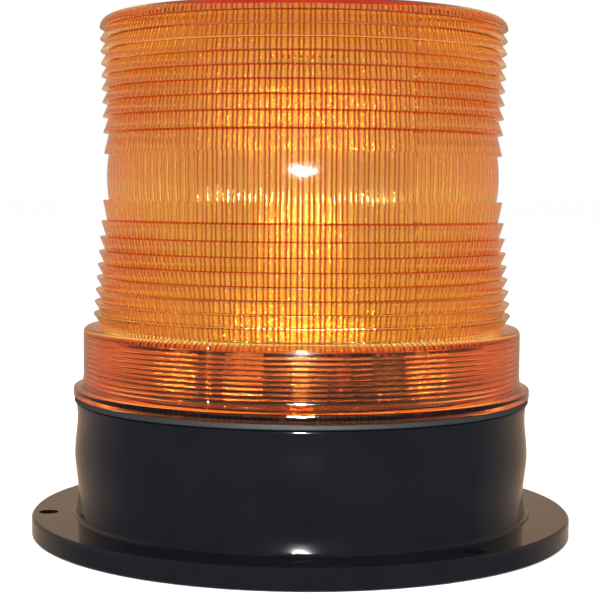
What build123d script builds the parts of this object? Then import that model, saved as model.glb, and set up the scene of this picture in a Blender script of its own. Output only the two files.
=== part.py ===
from build123d import *
import os
from math import atan, cos, degrees, pi, radians, sin

os.makedirs("parts", exist_ok=True)

# Battery-powered flashing barricade light: flanged base, twist-off Fresnel lens, xenon flash tube.
# Millimetres. Z = 0 is the underside of the flange, +Z is the lamp's own axis, -Y is the front.

# --- housing --------------------------------------------------------------------------------
flange_r = 88.9          # a 7 inch flange
flange_top = 6.75
flange_edge = 0.8
seat_r = 67.0            # inside this the underside is recessed
floor_bottom = 2.0
floor_top = 5.0
base_top = 43.5
base_inner_r = 71.0
foot_fillet = 1.3
wall_stations = [(74.7, 8.05), (74.0, 18.0), (74.9, 26.0), (74.05, 37.5), (74.3, 42.7)]
hole_circle_r = 83.5
hole_r = 3.2
hole_count = 3
first_hole_deg = 68.0

# --- lens seal and quarter-turn fixing --------------------------------------------------------
gasket_gap = 0.1
gasket_outer_r = 75.0
gasket_inner_r = 71.4
rim_bottom = 45.4
rim_top = 48.3
rim_r = 75.3
lug_count = 3
turn_deg = 20.0
rise_in_turn = 1.0
hook_inner_r = 67.6
hook_under = 40.6
hook_from_deg = -11.0
hook_to_deg = 10.0
lug_half_deg = 8.0
lug_outer_r = 70.3
lug_bottom = 37.3
lug_gap = 0.35
stop_bottom = 36.5

# --- lens ---------------------------------------------------------------------------------------
neck_outer_r = 67.0
neck_inner_r = 64.6
neck_bottom = 35.8
web_top = 47.6
skirt_r = 72.07
skirt_inner_r = 69.3
cove_top = 52.5
shoulder_top = 67.8
shoulder_round = 1.6
shoulder_under = 65.4
skirt_ring_count = 11
skirt_ring_depth = 0.25
skirt_ring_margin = 0.5
focus_z = 116.7          # height of the flash tube's centre and of the lens belt
belt_half = 7.5
belt_end_r = 63.8
belt_mid_r = 64.4
rib_base = 3.5           # rib heights are rib_base + rib_growth / number, counted from the belt
rib_growth = 3.3
upper_ribs = 9
lower_ribs = 9
upper_tip_r = 65.35
upper_tip_slope = 0.0346
lower_tip_r = 65.65
lower_tip_slope = 0.0845
upper_root_r = 63.55
upper_root_slope = 0.0118
lower_root_r = 63.5
lower_root_slope = 0.058
lens_top = 168.8
top_edge_r = 62.0
flute_count = 120
flute_heights = (0.0, 0.2, 0.2, 0.0, 0.16)   # each flute is a wide and a narrow ridge
bore_top_r = 61.3
bore_bottom_r = 63.6
bore_bottom = 64.0
bore_ceiling = 165.9
index_deg = 247.7        # where the lens carries its moulded alignment line
index_width = 0.8
nub_size = (1.3, 3.0)

# --- batteries ----------------------------------------------------------------------------------
cell_r = 16.6
cell_length = 61.5
button_r = 4.75
button_height = 1.5
cell_count = 3
cell_pitch = 34.6
tray_wall = 1.6
tray_inner_y = 33.9
tray_floor = 2.0
tray_top = 34.0
tray_ear_r = 4.5
tray_hole_r = 1.8
tray_pilot_r = 1.5
saddle_half_y = 18.0
cell_axis_z = floor_top + tray_floor + 0.3 + cell_r
contact_thick = 0.4
contact_width = 14.0
spring_wire_r = 0.4
spring_big_r = 6.6
spring_small_r = 4.2
spring_turns = 2.0
spring_height = 1.85
lead_r = 0.8
lead_hole_y = 36.2

# --- deck and its turn latches ------------------------------------------------------------------
deck_bottom = 44.0
deck_top = 46.5
deck_r = 63.0
deck_half_y = 50.5
deck_rim_height = 1.5
post_x = 41.0
post_y = 42.0
post_r = 4.0
peg_r = 1.6
latch_y = 57.0
latch_post_r = 4.5
latch_bottom = 46.7
latch_thick = 2.5
latch_reach = 12.0
latch_half_width = 3.6
pivot_r = 1.75
pivot_clearance = 0.06

# --- flasher board ------------------------------------------------------------------------------
board_bottom = 50.0
board_top = 51.6
board_r = 52.0
standoff_x = 38.5
standoff_y = 27.0
capacitor_x = 40.5
capacitor_r = 8.0
capacitor_length = 34.0
plate_r = 30.5
plate_bottom = 60.5
plate_top = 61.7
spacer_circle_r = 26.5
socket_r = 12.0
socket_top = 63.0
switch_at = (-18.0, -38.0)
switch_pivot_z = 57.4
switch_ball_r = 1.6
switch_lever_length = 5.6
photocell_at = (12.0, -41.0)

# --- flash tube ---------------------------------------------------------------------------------
cap_r = 14.0
plug_r = 11.0
cap_top = 66.0
plug_top = 72.0
dome_r = 13.0
dome_wall = 1.2
dome_centre_z = 123.0
tube_r = 2.5
tube_bore_r = 1.7
tube_leg_x = 6.0
tube_foot = 76.0
tube_bend_z = 117.0

BASE = (Align.CENTER, Align.CENTER, Align.MIN)
ramp_deg = degrees(rise_in_turn / radians(turn_deg) / ((hook_inner_r + lug_outer_r) / 2))


def write(node, *solids):
    """Writes one node; several solids in it are identical loose pieces."""
    shape = solids[0] if len(solids) == 1 else Compound(children=list(solids))
    export_step(shape, os.path.join("parts", node + ".step"))


def rod(radius, bottom, top, x=0.0, y=0.0):
    """Upright cylinder between two heights."""
    return Pos(x, y, bottom) * Cylinder(radius, top - bottom, align=BASE)


def block(size_x, size_y, bottom, top, x=0.0, y=0.0):
    """Upright box between two heights."""
    return Pos(x, y, bottom) * Box(size_x, size_y, top - bottom, align=BASE)


def turned(*edges):
    """Solid of revolution about Z from the closed outline of a half section in the XZ plane."""
    return revolve(Plane.XZ * make_face(list(edges)), Axis.Z)


def sector(inner_r, outer_r, bottom, top, from_deg, to_deg):
    """Part of a ring between two angles."""
    middle = (inner_r + outer_r) / 2
    face = Plane.XZ * Pos(middle, (bottom + top) / 2) * Rectangle(outer_r - inner_r, top - bottom)
    return Rot(0, 0, from_deg) * revolve(face, Axis.Z, revolution_arc=to_deg - from_deg)


def around(count, shape, first_deg=0.0):
    """Copies of a shape spread evenly about Z."""
    return [Rot(0, 0, first_deg + 360 * i / count) * shape for i in range(count)]


def ramp_block(height, above):
    """Large block whose face is the fixing's ramp, at this height on the +X side."""
    middle_r = (hook_inner_r + lug_outer_r) / 2
    align = (Align.CENTER, Align.CENTER, Align.MIN if above else Align.MAX)
    return Pos(middle_r, 0, height) * Rot(ramp_deg, 0, 0) * Box(12, 40, 12, align=align)


def pan_screw(head_r, head_height, shank_r, seat_z, tip_z, x=0.0, y=0.0):
    """Pan-head screw with a cross recess, standing on seat_z and reaching down to tip_z."""
    head = rod(head_r, seat_z, seat_z + head_height, x, y)
    head = fillet(head.edges().group_by(Axis.Z)[-1], head_height * 0.35)
    slot_top = seat_z + head_height
    for length, width in ((head_r * 1.2, head_r * 0.25), (head_r * 0.25, head_r * 1.2)):
        head -= block(length, width, slot_top - head_height * 0.5, slot_top + 1, x, y)
    return head + rod(shank_r, tip_z, seat_z, x, y)


# --- housing ------------------------------------------------------------------------------------

def base_outline():
    """Half section of the housing: flange, slightly waisted wall, floor."""
    wall = [Vector(r, z) for r, z in wall_stations]
    foot, shoulder = wall[0], wall[-1]
    lip = Vector(shoulder.X - flange_edge, base_top)
    lower = Polyline(
        (foot.X + foot_fillet, flange_top),
        (flange_r - flange_edge, flange_top),
        (flange_r, flange_top - flange_edge),
        (flange_r, flange_edge * 0.6),
        (flange_r - flange_edge * 0.6, 0),
        (seat_r, 0),
        (seat_r, floor_bottom),
        (0, floor_bottom),
        (0, floor_top),
        (base_inner_r, floor_top),
        (base_inner_r, base_top),
        lip,
    )
    cove = RadiusArc(foot, (foot.X + foot_fillet, flange_top), -foot_fillet)
    rounded_lip = RadiusArc(lip, shoulder, flange_edge)
    return [lower, cove, Spline(*wall), rounded_lip]


def base_housing():
    """One black moulding: flange, cup, three hooks for the lens and the posts for what it holds."""
    body = turned(*base_outline())
    hook = sector(hook_inner_r, base_inner_r + 1, hook_under - 1, base_top, hook_from_deg, hook_to_deg)
    hook -= ramp_block(hook_under, above=False)
    stop_to = -lug_half_deg - degrees(lug_gap / lug_outer_r)
    hook += sector(hook_inner_r, base_inner_r + 1, stop_bottom, base_top, hook_from_deg, stop_to)
    for piece in around(lug_count, hook, first_hole_deg):
        body += piece
    for x in (-post_x, post_x):
        for y in (-post_y, post_y):
            body += rod(post_r, floor_top, deck_bottom, x, y) + rod(peg_r, deck_bottom, deck_top + 1, x, y)
    for y in (-latch_y, latch_y):
        body += rod(latch_post_r, floor_top, latch_bottom - 0.1, 0, y)
        body -= rod(pivot_r + 0.02, latch_bottom - 14, latch_bottom, 0, y)
    for x in tray_ear_places():
        body += rod(tray_ear_r, floor_top, floor_top + tray_floor, x)
        body -= rod(tray_pilot_r, floor_bottom + 0.8, floor_top + tray_floor, x)
    hole = Pos(hole_circle_r, 0, 0) * rod(hole_r, -1, flange_top + 1)
    for piece in around(hole_count, hole, first_hole_deg):
        body -= piece
    return body


def lens_gasket():
    """Rubber ring squeezed between the housing and the lens rim."""
    bottom = base_top + gasket_gap
    top = rim_bottom - gasket_gap
    ring = rod(gasket_outer_r, bottom, top) - rod(gasket_inner_r, bottom - 1, top + 1)
    outer = ring.edges().filter_by(GeomType.CIRCLE).sort_by(SortBy.RADIUS)[-2:]
    return fillet(outer, 0.35)


# --- lens -----------------------------------------------------------------------------------------

def rib_ends(count):
    """Distances from the belt's middle to each end of the prism ribs."""
    ends = [belt_half]
    for number in range(1, count + 1):
        ends.append(ends[-1] + rib_base + rib_growth / number)
    return ends


def dome_outline():
    """Outside of the lens dome, from the shoulder up to the top edge: prism ribs and the middle belt."""
    points = []
    below = rib_ends(lower_ribs)
    for far, near in zip(reversed(below[1:]), reversed(below[:-1])):
        points.append((lower_root_r + lower_root_slope * far, focus_z - far))
        points.append((lower_tip_r + lower_tip_slope * (near - belt_half), focus_z - near))
    lower = Polyline(*points, (belt_end_r, focus_z - belt_half))
    belt = ThreePointArc(
        (belt_end_r, focus_z - belt_half), (belt_mid_r, focus_z), (belt_end_r, focus_z + belt_half)
    )
    above = rib_ends(upper_ribs)
    points = [(belt_end_r, focus_z + belt_half)]
    for near, far in zip(above[:-1], above[1:]):
        points.append((upper_tip_r + upper_tip_slope * (near - belt_half), focus_z + near))
        points.append((upper_root_r + upper_root_slope * far, focus_z + far))
    last = above[-1]
    crown = (upper_tip_r + upper_tip_slope * (last - belt_half), focus_z + last)
    points.append(crown)
    upper = Polyline(*points)
    top_round = RadiusArc(crown, (top_edge_r, lens_top), -5.6)
    return [lower, belt, upper, top_round]


def skirt_rings():
    """Points down the inside of the skirt: fine ring prisms that break up the view."""
    pitch = (shoulder_under - web_top - 2 * skirt_ring_margin) / skirt_ring_count
    crest_r = skirt_inner_r - skirt_ring_depth
    points = []
    for i in range(skirt_ring_count):
        z = shoulder_under - skirt_ring_margin - i * pitch
        points += [(skirt_inner_r, z), (crest_r, z - pitch * 0.32), (crest_r, z - pitch * 0.68)]
    return points + [(skirt_inner_r, web_top + skirt_ring_margin)]


def fluted_face(radius):
    """Outline of the lens bore: a ring of low ridges that stand into the space inside."""
    per_flute = len(flute_heights)
    points = []
    for i in range(flute_count * per_flute):
        angle = 2 * pi * i / (flute_count * per_flute)
        reach = radius - flute_heights[i % per_flute]
        points.append((reach * cos(angle), reach * sin(angle)))
    return make_face(Polyline(*points, close=True))


def lens():
    """Amber moulding: neck with lugs, rim, skirt with inner rings, fluted dome with outer prisms."""
    first = rib_ends(lower_ribs)[-1]
    root = (lower_root_r + lower_root_slope * first, focus_z - first)
    cove_r = cove_top - rim_top
    outside = [
        Polyline(
            (neck_inner_r, neck_bottom),
            (neck_outer_r, neck_bottom),
            (neck_outer_r, rim_bottom),
            (rim_r - 0.4, rim_bottom),
            (rim_r, rim_bottom + 0.4),
            (rim_r, rim_top - 0.5),
            (rim_r - 0.5, rim_top),
            (skirt_r + 1.4, rim_top),
        ),
        Spline((skirt_r + 1.4, rim_top), (skirt_r + 0.45, rim_top + cove_r * 0.3), (skirt_r, cove_top),
               tangents=((-1, 0.25), (0, 1))),
        Line((skirt_r, cove_top), (skirt_r, shoulder_top - shoulder_round)),
        RadiusArc((skirt_r, shoulder_top - shoulder_round), (skirt_r - shoulder_round, shoulder_top),
                  -shoulder_round),
        Polyline((skirt_r - shoulder_round, shoulder_top), (root[0], shoulder_top), root),
        *dome_outline(),
        Line((top_edge_r, lens_top), (0, lens_top)),
        Polyline(
            (0, lens_top),
            (0, bore_ceiling),
            (bore_top_r - 3, bore_ceiling),
            (bore_top_r - 3, shoulder_under),
            *skirt_rings(),
            (skirt_inner_r, web_top),
            (neck_inner_r, web_top),
            (neck_inner_r, neck_bottom),
        ),
    ]
    body = turned(*outside)
    straight = Pos(0, 0, focus_z - belt_half) * extrude(
        fluted_face(bore_top_r), bore_ceiling - focus_z + belt_half
    )
    flared = loft(
        [
            Pos(0, 0, bore_bottom) * fluted_face(bore_bottom_r),
            Pos(0, 0, focus_z - belt_half) * fluted_face(bore_top_r),
        ],
        ruled=True,
    )
    body = body - straight - flared
    lug_top = hook_under - lug_gap
    lug = sector(neck_outer_r - 1, lug_outer_r, lug_bottom, lug_top + 1, -lug_half_deg, lug_half_deg)
    lug -= ramp_block(lug_top, above=True)
    for piece in around(lug_count, lug, first_hole_deg):
        body += piece
    line_length = shoulder_top - shoulder_round - cove_top
    line = Pos(skirt_r, 0, cove_top) * Box(0.5, index_width, line_length, align=BASE)
    nub = Pos(rim_r - 0.1, 0, rim_bottom) * Box(1.2, *nub_size, align=BASE)
    body += Rot(0, 0, index_deg) * line
    return body + Rot(0, 0, index_deg) * nub


# --- batteries ------------------------------------------------------------------------------------

def tray_half_x():
    """Half the tray's outer width."""
    return cell_count * cell_pitch / 2 + tray_wall


def tray_ear_places():
    """Where the tray is screwed down, on X."""
    return [-tray_half_x() - 4.0, tray_half_x() + 4.0]


def cell_places():
    """X of each cell and which way its button points, cells side by side with turned polarity."""
    middle = (cell_count - 1) / 2
    return [((i - middle) * cell_pitch, 1 if i % 2 == 0 else -1) for i in range(cell_count)]


def battery_tray():
    """Open box with low saddles between the cells, slots for the contacts and two screw ears."""
    half_x = tray_half_x()
    half_y = tray_inner_y + tray_wall
    inner_x = 2 * (half_x - tray_wall)
    tray = block(2 * half_x, 2 * half_y, floor_top, tray_top)
    tray = fillet(tray.edges().filter_by(Axis.Z), 3.0)
    for x in tray_ear_places():
        ear_top = floor_top + 2 * tray_floor
        inward = -3 if x > 0 else 3
        tray += rod(tray_ear_r, floor_top + tray_floor, ear_top, x)
        tray += block(6, 2 * tray_ear_r, floor_top + tray_floor, ear_top, x + inward)
        tray -= rod(tray_ear_r + 0.1, floor_top - 1, floor_top + tray_floor, x)
        tray -= rod(tray_hole_r, floor_top, tray_top, x)
    tray -= block(inner_x, 2 * tray_inner_y, floor_top + tray_floor, tray_top + 1)
    for i in range(1, cell_count):
        x = (i - cell_count / 2) * cell_pitch
        for y in (-saddle_half_y, saddle_half_y):
            tray += block(1.0, 12.0, floor_top + tray_floor, cell_axis_z - 4, x, y)
    return tray


def battery_cell(x, side):
    """D size cell lying along Y: rolled can, raised button and flat base."""
    body_length = cell_length - button_height
    can = Cylinder(cell_r, body_length, align=BASE)
    can = fillet(can.edges(), 0.9)
    groove = Cylinder(cell_r - 1.4, 0.7, align=BASE) - Cylinder(cell_r - 2.6, 0.7, align=BASE)
    can -= Pos(0, 0, body_length - 0.5) * groove
    button = Pos(0, 0, body_length) * Cylinder(button_r, button_height, align=BASE)
    cell = can + fillet(button.edges().group_by(Axis.Z)[-1], 0.5)
    lying = Rot(-90 if side > 0 else 90, 0, 0) * cell
    return Pos(x, -side * cell_length / 2, cell_axis_z) * lying


def contact_plate(x_from, x_to, side):
    """Plated strip against one end wall of the tray, with a folded solder tab at its outer end."""
    y = side * (tray_inner_y - contact_thick / 2)
    width = abs(x_to - x_from) + contact_width
    middle = (x_from + x_to) / 2
    plate = block(width, contact_thick, cell_axis_z - 8, cell_axis_z + 7, middle, y)
    return plate + block(4, contact_thick, cell_axis_z + 7, tray_top + 2.0, x_from, y)


def contact_spring(x, side):
    """Conical coil that presses on the flat end of a cell."""
    narrowing = degrees(atan((spring_big_r - spring_small_r) / spring_height))
    path = Helix(spring_height / spring_turns, spring_height, spring_big_r, cone_angle=-narrowing)
    coil = sweep(Plane(origin=path @ 0, z_dir=path % 0) * Circle(spring_wire_r), path, is_frenet=True)
    y = side * (tray_inner_y - contact_thick - spring_wire_r - 0.05)
    return Pos(x, y, cell_axis_z) * Rot(90 * side, 0, 0) * coil


def lead(points, bend):
    """Insulated wire: straight runs joined by round bends."""
    path = FilletPolyline(*points, radius=bend)
    return sweep(Plane(origin=path @ 0, z_dir=path % 0) * Circle(lead_r), path)


def battery_leads():
    """Red and black wires from the end contacts up through the deck to the board."""
    wires = {}
    for node, x, side in (("red_lead", -cell_pitch, 1), ("black_lead", cell_pitch, -1)):
        y = side * (tray_inner_y - contact_thick - lead_r - 0.05)
        outer_y = side * lead_hole_y
        start = tray_top + 1.0
        points = [(x, y, start), (x, y, start + 3), (x, outer_y, start + 7), (x, outer_y, board_bottom)]
        wires[node] = lead(points, 2.5)
    return wires


# --- deck and latches -----------------------------------------------------------------------------

def deck():
    """Black plate over the batteries, straight at front and back where the latches turn."""
    plate = rod(deck_r, deck_bottom, deck_top)
    plate &= block(2 * deck_r, 2 * deck_half_y, deck_bottom, deck_top)
    rim_top_z = deck_top + deck_rim_height
    rim = rod(deck_r - 1, deck_top, rim_top_z) - rod(deck_r - 3, deck_top, rim_top_z)
    plate += rim & block(2 * deck_r, 2 * deck_half_y - 14, deck_top, rim_top_z)
    for x in (-post_x, post_x):
        for y in (-post_y, post_y):
            plate -= rod(peg_r + 0.2, deck_bottom - 1, deck_top + 2, x, y)
    for x, side in ((-cell_pitch, 1), (cell_pitch, -1)):
        plate -= rod(lead_r + 1.2, deck_bottom - 1, deck_top + 2, x, side * lead_hole_y)
    for x in (-standoff_x, standoff_x):
        for y in (-standoff_y, standoff_y):
            plate -= rod(1.5, deck_bottom - 1, deck_top + 1, x, y)
    return plate


def latch(side):
    """Turn button: a rounded bar that pivots on its post and holds the deck's edge down."""
    foot_y = side * latch_y
    tip_y = foot_y - side * (latch_reach - latch_half_width)
    middle_y = (foot_y + tip_y) / 2
    top = latch_bottom + latch_thick
    bar = block(2 * latch_half_width, abs(foot_y - tip_y), latch_bottom, top, 0, middle_y)
    bar += rod(latch_half_width, latch_bottom, top, 0, foot_y)
    bar += rod(latch_half_width, latch_bottom, top, 0, tip_y)
    bar += block(6.0, 2.4, top, top + 2.4, 0, foot_y - side * 5.4)
    return bar - rod(pivot_r + pivot_clearance, latch_bottom - 1, top + 1, 0, foot_y)


def latch_screws():
    """Shouldered pivots of the two latches."""
    seat = latch_bottom + latch_thick + 0.1
    tip = latch_bottom - 12
    return [pan_screw(3.0, 1.7, pivot_r, seat, tip, 0, y) for y in (-latch_y, latch_y)]


def cell_pad():
    """Foam strip under the deck that keeps the cells in their saddles."""
    pad = block(2 * tray_half_x() - 8, 22, cell_axis_z + cell_r + 0.3, deck_bottom)
    return fillet(pad.edges().filter_by(Axis.Z), 3)


def tray_screws():
    """Screws through the tray's ears into the floor."""
    seat = floor_top + 2 * tray_floor
    return [pan_screw(3.0, 1.8, 1.45, seat, floor_bottom + 1, x) for x in tray_ear_places()]


# --- flasher board --------------------------------------------------------------------------------

def standoffs():
    """Hexagonal spacers between deck and board, each with a stud down through the deck."""
    pieces = []
    for x in (-standoff_x, standoff_x):
        for y in (-standoff_y, standoff_y):
            hexagon = Pos(x, y, deck_top) * extrude(RegularPolygon(2.9, 6), board_bottom - deck_top)
            pieces.append(hexagon + rod(1.4, deck_bottom + 0.2, deck_top, x, y))
            pieces[-1] -= rod(1.25, deck_top + 0.5, board_bottom + 1, x, y)
    return pieces


def board_screws():
    """Screws that hold the board on its spacers."""
    places = [(x, y) for x in (-standoff_x, standoff_x) for y in (-standoff_y, standoff_y)]
    return [pan_screw(2.8, 1.7, 1.2, board_top, deck_top + 0.8, x, y) for x, y in places]


def circuit_board():
    """Round fibre board with its screw holes and two straight handling edges."""
    board = rod(board_r, board_bottom, board_top)
    board &= block(2 * board_r, 2 * board_r - 6, board_bottom, board_top)
    for x in (-standoff_x, standoff_x):
        for y in (-standoff_y, standoff_y):
            board -= rod(1.6, board_bottom - 1, board_top + 1, x, y)
    return board


def storage_capacitor(side):
    """Energy store of the flash: a sleeved can lying along Y with a rolled crimp and two legs."""
    axis_z = board_top + capacitor_r + 0.1
    can = Cylinder(capacitor_r, capacitor_length)
    can = fillet(can.edges(), 1.0)
    crimp = Torus(capacitor_r + 0.6, 1.1)
    can -= Pos(0, 0, capacitor_length / 2 - 4) * crimp
    can -= Pos(0, 0, -capacitor_length / 2) * Cylinder(capacitor_r - 2, 0.8)
    body = Pos(side * capacitor_x, 0, axis_z) * Rot(90, 0, 0) * can
    front = -capacitor_length / 2
    for x in (-3.5, 3.5):
        at = side * capacitor_x + x
        body += Pos(at, front - 0.5, axis_z) * Rot(90, 0, 0) * Cylinder(0.4, 2.6)
        body += rod(0.4, board_top, axis_z, at, front - 1.4)
    return body


def transformer():
    """Inverter transformer at the back of the board: ferrite core and taped winding."""
    y, bottom, top = 41.0, board_top + 0.4, board_top + 10.0
    core = block(22, 9, bottom, top, 0, y)
    for x in (-5.6, 5.6):
        core -= block(4.4, 10, bottom + 2.2, top - 2.2, x, y)
    winding = block(15.2, 13.6, bottom + 2.4, top - 2.4, 0, y)
    winding = fillet(winding.edges().filter_by(Axis.Z), 2.4)
    winding -= block(7.0, 9.2, bottom, top, 0, y)
    return core, winding


def trigger_coil():
    """Small upright pulse coil beside the tube socket."""
    coil = rod(4.5, board_top, board_top + 9.5, 22, 31)
    return fillet(coil.edges(), 0.6)


def timer_chip():
    """Eight-legged timer that sets the flash rate."""
    chip = block(9.6, 6.4, board_top + 0.6, board_top + 4.0, 0, 21)
    chip = chamfer(chip.edges().filter_by(Axis.X), 0.5)
    chip -= rod(0.7, board_top + 3.6, board_top + 5, -4.0, 21)
    for i in range(4):
        for side in (-1, 1):
            x, y = -3.81 + 2.54 * i, 21 + side * 3.6
            chip += block(0.5, 0.9, board_top, board_top + 2.4, x, y)
    return chip


def axial_part(x, y, body_r, body_length):
    """Resistor or diode: barrel along X with its legs bent down into the board."""
    z = board_top + body_r + 0.2
    barrel = Cylinder(body_r, body_length)
    barrel = fillet(barrel.edges(), body_r * 0.4)
    part = Pos(x, y, z) * Rot(0, 90, 0) * (barrel + Cylinder(0.3, body_length + 3.4))
    for side in (-1, 1):
        part += rod(0.3, board_top, z + 0.3, x + side * (body_length / 2 + 1.4), y)
    return part


def driver_transistor():
    """Tab-mounted switching transistor standing on three legs."""
    x, y, bottom = 27.0, -33.0, board_top + 2.6
    part = block(10, 4.4, bottom, bottom + 8.6, x, y)
    tab = block(10, 1.3, bottom, bottom + 12.5, x, y + 1.55)
    part += tab - Pos(x, y + 1.55, bottom + 10.4) * Rot(90, 0, 0) * Cylinder(1.7, 4)
    for i in (-1, 0, 1):
        part += block(0.8, 0.5, board_top, bottom, x + 2.54 * i, y)
    return part


def switch_body():
    """Three-position toggle switch: flash, off, steady."""
    x, y = switch_at
    body = block(12, 7, board_top, board_top + 4.6, x, y)
    body = chamfer(body.edges().group_by(Axis.Z)[-1], 0.4)
    body += rod(2.9, board_top + 4.6, switch_pivot_z + 1.2, x, y)
    body -= Pos(x, y, switch_pivot_z) * Sphere(switch_ball_r + 0.05)
    mouth = Pos(x, y, switch_pivot_z) * Cone(0.6, 3.0, 3.0, align=BASE)
    return body - mouth


def switch_lever():
    """Bat lever on its ball."""
    x, y = switch_at
    lever = Pos(x, y, switch_pivot_z) * Sphere(switch_ball_r)
    lever += Pos(x, y, switch_pivot_z) * Cone(0.7, 1.25, switch_lever_length, align=BASE)
    return lever + Pos(x, y, switch_pivot_z + switch_lever_length) * Sphere(1.25)


def photocell():
    """Light sensor that keeps the lamp off by day: holder, disc and window."""
    x, y = photocell_at
    holder = rod(4.0, board_top, board_top + 6.0, x, y)
    holder -= rod(3.3, board_top + 5.2, board_top + 7, x, y)
    return holder + rod(2.9, board_top + 5.0, board_top + 5.8, x, y)


# --- flash tube -----------------------------------------------------------------------------------

def tube_socket():
    """Three-way socket under the flash tube."""
    socket = rod(socket_r, board_top, socket_top)
    socket = fillet(socket.edges().group_by(Axis.Z)[-1], 0.8)
    for x, y in pin_places():
        socket -= rod(1.3, socket_top - 8, socket_top + 1, x, y)
    return socket


def pin_places():
    """Plug pins, one of them off the pitch so that the tube goes in one way round."""
    return [(6.5 * cos(radians(a)), 6.5 * sin(radians(a))) for a in (90, 200, 340)]


def reflector_plate():
    """Bright dished disc under the tube with a rolled edge, on three spacers."""
    plate = rod(plate_r, plate_bottom, plate_top) - rod(socket_r + 0.4, plate_bottom - 1, plate_top + 1)
    edge = rod(plate_r, plate_top, plate_top + 1.2) - rod(plate_r - 1.0, plate_top, plate_top + 1.2)
    plate += edge
    for x, y in spacer_places():
        plate -= rod(1.5, plate_bottom - 1, plate_top + 2, x, y)
    return plate


def spacer_places():
    """The three spacers of the reflector plate."""
    return [(spacer_circle_r * cos(radians(a)), spacer_circle_r * sin(radians(a))) for a in (30, 150, 270)]


def plate_spacers():
    """Turned nylon spacers."""
    return [
        rod(2.8, board_top, plate_bottom, x, y) - rod(1.25, board_top + 1, plate_bottom + 1, x, y)
        for x, y in spacer_places()
    ]


def plate_screws():
    """Screws down through the reflector plate."""
    return [pan_screw(2.6, 1.5, 1.2, plate_top, plate_bottom - 5, x, y) for x, y in spacer_places()]


def tube_base():
    """Plug of the flash tube: flange that carries the glass and a spigot inside it."""
    base = rod(cap_r, socket_top + 0.1, cap_top)
    base = fillet(base.edges(), 0.5)
    plug = rod(plug_r, cap_top, plug_top)
    base += chamfer(plug.edges().group_by(Axis.Z)[-1], 0.8)
    for x in (-tube_leg_x, tube_leg_x):
        base -= rod(1.0, cap_top - 1, plug_top + 1, x)
    return base


def tube_pins():
    """Plug pins in the socket."""
    return [fillet(rod(1.2, socket_top - 7, socket_top + 0.1, x, y).edges().group_by(Axis.Z)[0], 0.5)
            for x, y in pin_places()]


def flash_tube():
    """Xenon tube bent into a hairpin."""
    legs = Line((-tube_leg_x, 0, tube_foot), (-tube_leg_x, 0, tube_bend_z))
    bend = ThreePointArc(
        (-tube_leg_x, 0, tube_bend_z), (0, 0, tube_bend_z + tube_leg_x), (tube_leg_x, 0, tube_bend_z)
    )
    back = Line((tube_leg_x, 0, tube_bend_z), (tube_leg_x, 0, tube_foot))
    path = Wire([legs, bend, back])
    section = Plane(origin=(-tube_leg_x, 0, tube_foot), z_dir=(0, 0, 1))
    outer = sweep(section * Circle(tube_r), path)
    return outer - sweep(section * Circle(tube_bore_r), path)


def tube_electrodes():
    """Metal ends of the tube with the stiff wires that hold it up."""
    pieces = []
    for x in (-tube_leg_x, tube_leg_x):
        end = rod(tube_bore_r - 0.1, tube_foot - 0.2, tube_foot + 5, x)
        end += rod(tube_r, tube_foot - 1.6, tube_foot - 0.1, x)
        pieces.append(end + rod(0.9, cap_top - 0.5, tube_foot - 1.6, x))
    return pieces


def trigger_wire():
    """Starting wire between the legs, touching the inside of the bend."""
    top = tube_bend_z + tube_leg_x - tube_r
    return rod(0.35, plug_top, top)


def tube_dome():
    """Clear glass cover over the flash tube."""
    bottom = cap_top + 0.05
    outer = rod(dome_r, bottom, dome_centre_z) + Pos(0, 0, dome_centre_z) * Sphere(dome_r)
    inner_r = dome_r - dome_wall
    inner = rod(inner_r, bottom - 1, dome_centre_z) + Pos(0, 0, dome_centre_z) * Sphere(inner_r)
    return outer - inner


def build():
    """Writes every node."""
    write("base_housing", base_housing())
    write("lens_gasket", lens_gasket())
    write("lens", lens())
    write("battery_tray", battery_tray())
    for number, (x, side) in enumerate(cell_places(), start=1):
        write(f"battery_cell_{number}", battery_cell(x, side))
    first, middle, last = [x for x, side in cell_places()]
    write("contact_positive", contact_plate(first, first, 1))
    write("contact_link_front", contact_plate(first, middle, -1))
    write("contact_link_back", contact_plate(last, middle, 1))
    write("contact_negative", contact_plate(last, last, -1))
    write("contact_springs", *[contact_spring(x, -side) for x, side in cell_places()])
    for node, wire in battery_leads().items():
        write(node, wire)
    write("tray_screws", *tray_screws())
    write("cell_pad", cell_pad())
    write("deck", deck())
    write("front_latch", latch(-1))
    write("back_latch", latch(1))
    write("latch_screws", *latch_screws())
    write("board_standoffs", *standoffs())
    write("circuit_board", circuit_board())
    write("board_screws", *board_screws())
    write("left_capacitor", storage_capacitor(-1))
    write("right_capacitor", storage_capacitor(1))
    core, winding = transformer()
    write("transformer_core", core)
    write("transformer_winding", winding)
    write("trigger_coil", trigger_coil())
    write("timer_chip", timer_chip())
    write("resistors", *[axial_part(-17.5, -15 + 4.6 * i, 1.2, 6.4) for i in range(6)])
    write("diodes", *[axial_part(17.5, -8 + 6 * i, 1.35, 5.2) for i in range(3)])
    write("driver_transistor", driver_transistor())
    write("switch_body", switch_body())
    write("switch_lever", switch_lever())
    write("photocell", photocell())
    write("tube_socket", tube_socket())
    write("reflector_plate", reflector_plate())
    write("plate_spacers", *plate_spacers())
    write("plate_screws", *plate_screws())
    write("tube_base", tube_base())
    write("tube_pins", *tube_pins())
    write("flash_tube", flash_tube())
    write("tube_electrodes", *tube_electrodes())
    write("trigger_wire", trigger_wire())
    write("tube_dome", tube_dome())


build()
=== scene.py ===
import bpy
import bmesh
from math import cos, pi, radians, sin, tan
from mathutils import Euler, Matrix, Vector


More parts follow.
